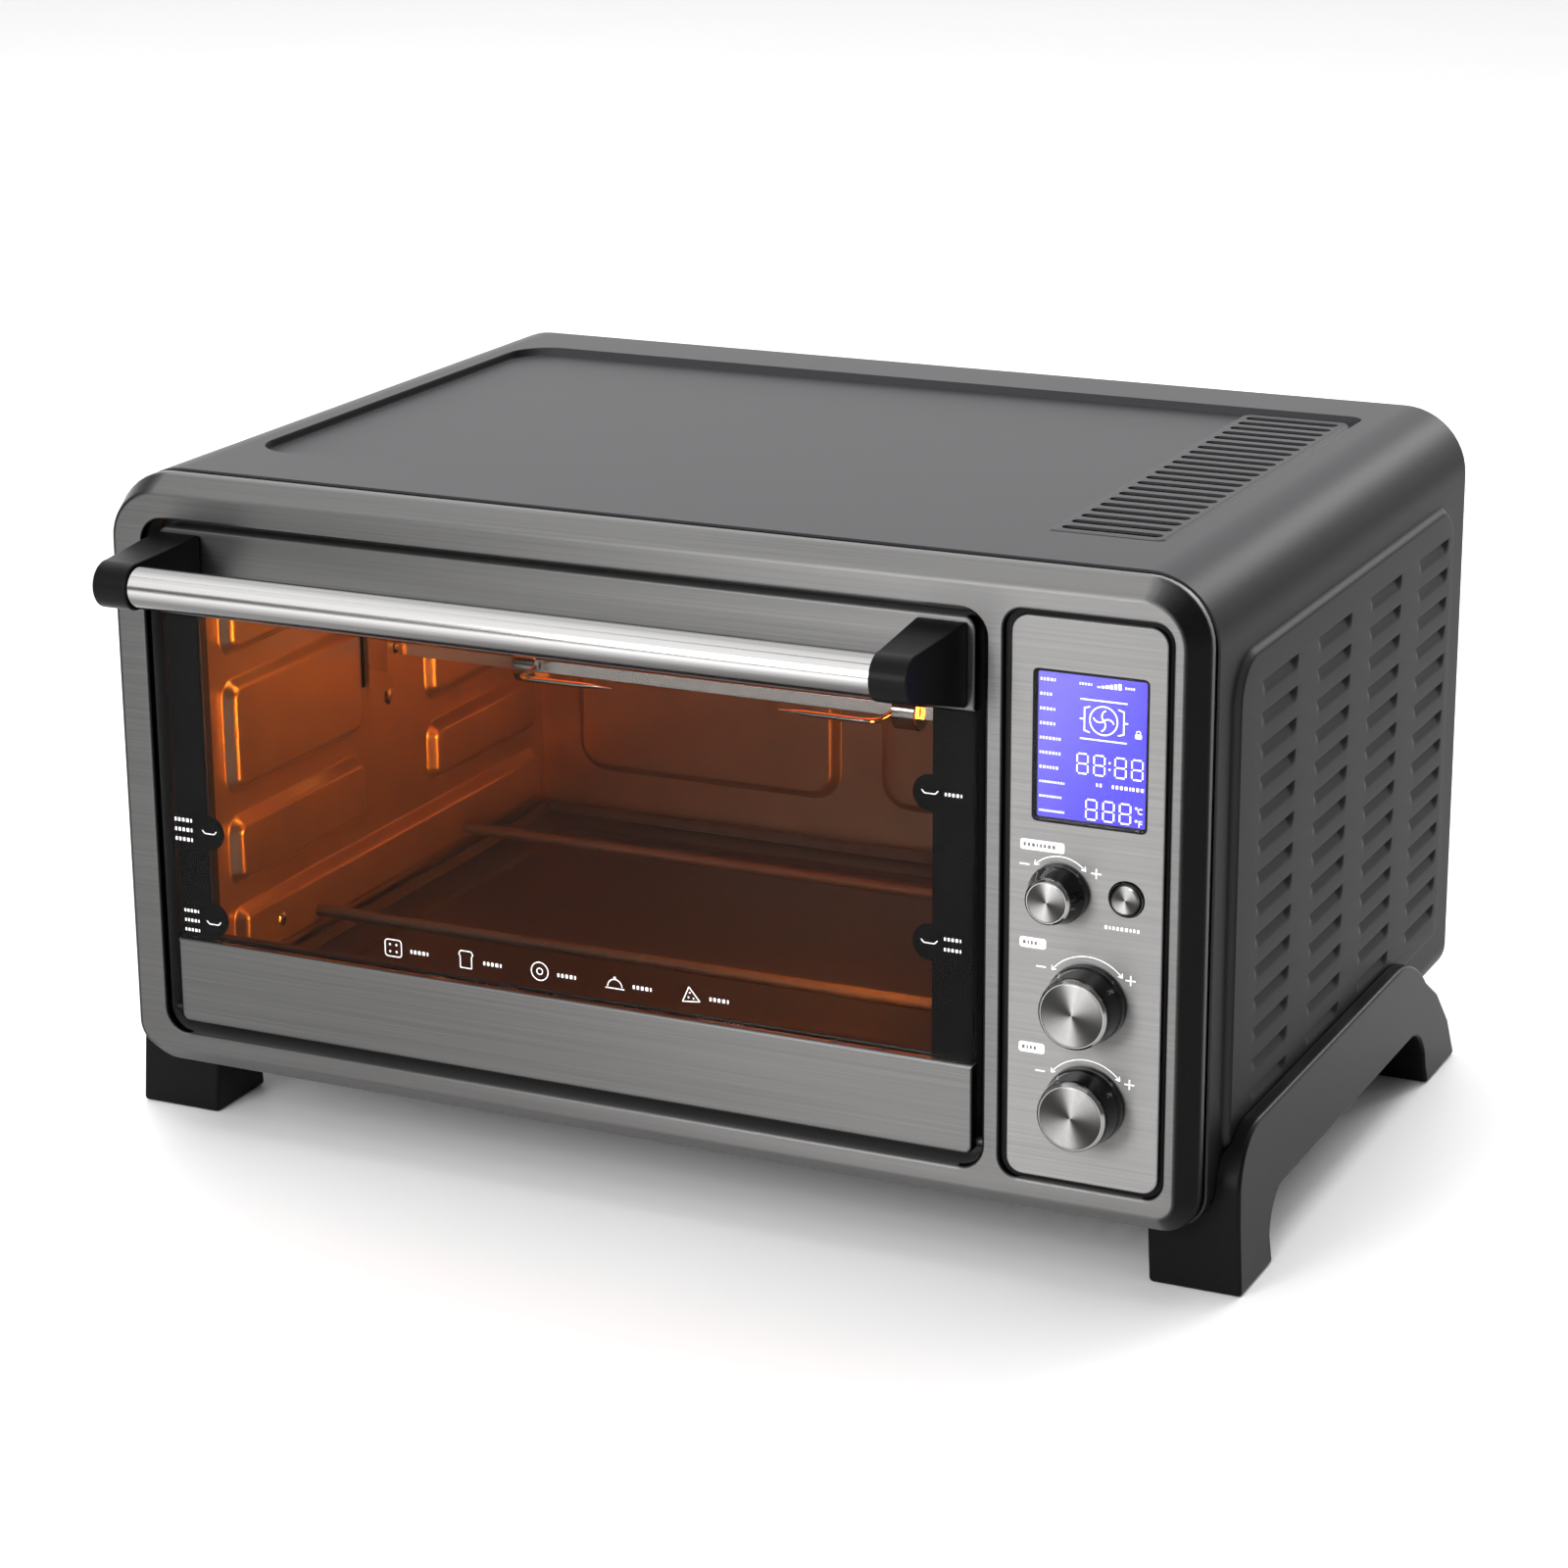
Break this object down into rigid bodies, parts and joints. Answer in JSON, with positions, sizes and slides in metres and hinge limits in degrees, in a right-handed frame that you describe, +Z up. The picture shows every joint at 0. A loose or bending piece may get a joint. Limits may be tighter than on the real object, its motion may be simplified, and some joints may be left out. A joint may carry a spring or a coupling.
{
  "type": "toaster oven",
  "caption": "Countertop digital toaster oven: steel front, drop-down glass door with bar handle, side control panel with display and dials, rotisserie spit, vented grey cover, black feet.",
  "frame": {"origin": "centre of the overall footprint, on the worktop under the feet", "axes": "+X to the right of someone facing the door, +Y from the door towards the back, +Z up"},
  "size_m": [0.497, 0.384, 0.283],
  "materials": {
    "front_steel": "horizontal brushed",
    "grey_paint": "metallic grey, satin",
    "rear_paint": "satin",
    "motor_case": "zinc plated, dull",
    "black_plastic": "satin moulded",
    "black_enamel": "heat resistant, satin",
    "liner": "aluminised, satin",
    "heater_sheath": "dull, heat tinted",
    "bright_steel": "plated, bright",
    "handle_steel": "fine brushed, bright",
    "fan_aluminium": "as rolled",
    "circuit_board": "solder resist",
    "display_black": "back-lit blue panel",
    "display_lens": "clear, polished",
    "door_glass": "tempered, polished",
    "knob_black": "polished",
    "knob_face": "spun",
    "encoder_case": "dull"
  },
  "bodies": {
    "housing": {"front_bezel": "front_steel", "control_panel_plate": "front_steel", "wrap_cover": "grey_paint", "rear_panel": "rear_paint", "base_pan": "rear_paint", "rotisserie_motor": "motor_case", "fan_motor": "motor_case", "foot_left": "black_plastic", "foot_right": "black_plastic", "control_housing": "black_plastic", "button_ring": "black_plastic", "cord_gland": "black_plastic", "door_surround": "black_enamel", "front_frame": "black_enamel", "crumb_tray": "black_enamel", "cavity_left_wall": "liner", "cavity_right_wall": "liner", "cavity_roof": "liner", "cavity_floor": "liner", "cavity_back": "liner", "spit_support": "liner", "upper_heater_front": "heater_sheath", "upper_heater_rear": "heater_sheath", "lower_heater_front": "heater_sheath", "lower_heater_rear": "heater_sheath", "temperature_probe": "bright_steel", "hinge_bracket_left": "bright_steel", "hinge_bracket_right": "bright_steel", "power_board": "circuit_board", "control_board": "circuit_board", "display_module": "display_black", "display_lens": "display_lens", "function_encoder": "encoder_case", "temperature_encoder": "encoder_case", "time_encoder": "encoder_case"},
    "door": {"door_top_strip": "front_steel", "door_bottom_strip": "front_steel", "door_glass": "door_glass", "door_frame": "black_enamel", "hinge_pin_left": "bright_steel", "hinge_pin_right": "bright_steel", "handle_tube": "handle_steel", "handle_bracket_left": "black_plastic", "handle_bracket_right": "black_plastic"},
    "function_dial": {"function_knob": "knob_black", "function_knob_cap": "knob_face"},
    "temperature_dial": {"temperature_knob": "knob_black", "temperature_knob_cap": "knob_face"},
    "time_dial": {"time_knob": "knob_black", "time_knob_cap": "knob_face"},
    "start_stop_key": {"start_stop_button": "knob_face"},
    "spit": {"spit_rod": "bright_steel", "spit_fork_left": "bright_steel", "spit_fork_right": "bright_steel", "spit_screw_left": "bright_steel", "spit_screw_right": "bright_steel", "spit_drive_socket": "bright_steel"},
    "fan": {"convection_fan": "fan_aluminium"}
  },
  "joints": [
    {"name": "door_hinge", "type": "hinge", "parent": "housing", "child": "door", "pos_m": [0, -0.1357, 0.0515], "axis": [1, 0, 0], "range_deg": [0, 86], "stiffness_Nm_per_rad": 0.3, "springref_deg": -68.75},
    {"name": "function_turn", "type": "hinge", "parent": "housing", "child": "function_dial", "pos_m": [0.1803, -0.1442, 0.1601], "axis": [0, 1, 0], "continuous": true},
    {"name": "temperature_turn", "type": "hinge", "parent": "housing", "child": "temperature_dial", "pos_m": [0.1919, -0.1442, 0.1183], "axis": [0, 1, 0], "continuous": true},
    {"name": "time_turn", "type": "hinge", "parent": "housing", "child": "time_dial", "pos_m": [0.1919, -0.1442, 0.0776], "axis": [0, 1, 0], "continuous": true},
    {"name": "start_stop_press", "type": "slide", "parent": "housing", "child": "start_stop_key", "axis": [0, 1, 0], "range_m": [0, 0.0015], "stiffness_N_per_m": 600},
    {"name": "spit_turn", "type": "hinge", "parent": "housing", "child": "spit", "pos_m": [0, 0.0058, 0.176], "axis": [1, 0, 0], "continuous": true},
    {"name": "fan_turn", "type": "hinge", "parent": "housing", "child": "fan", "pos_m": [0.145, 0.0898, 0.11], "axis": [1, 0, 0], "continuous": true}
  ]
}
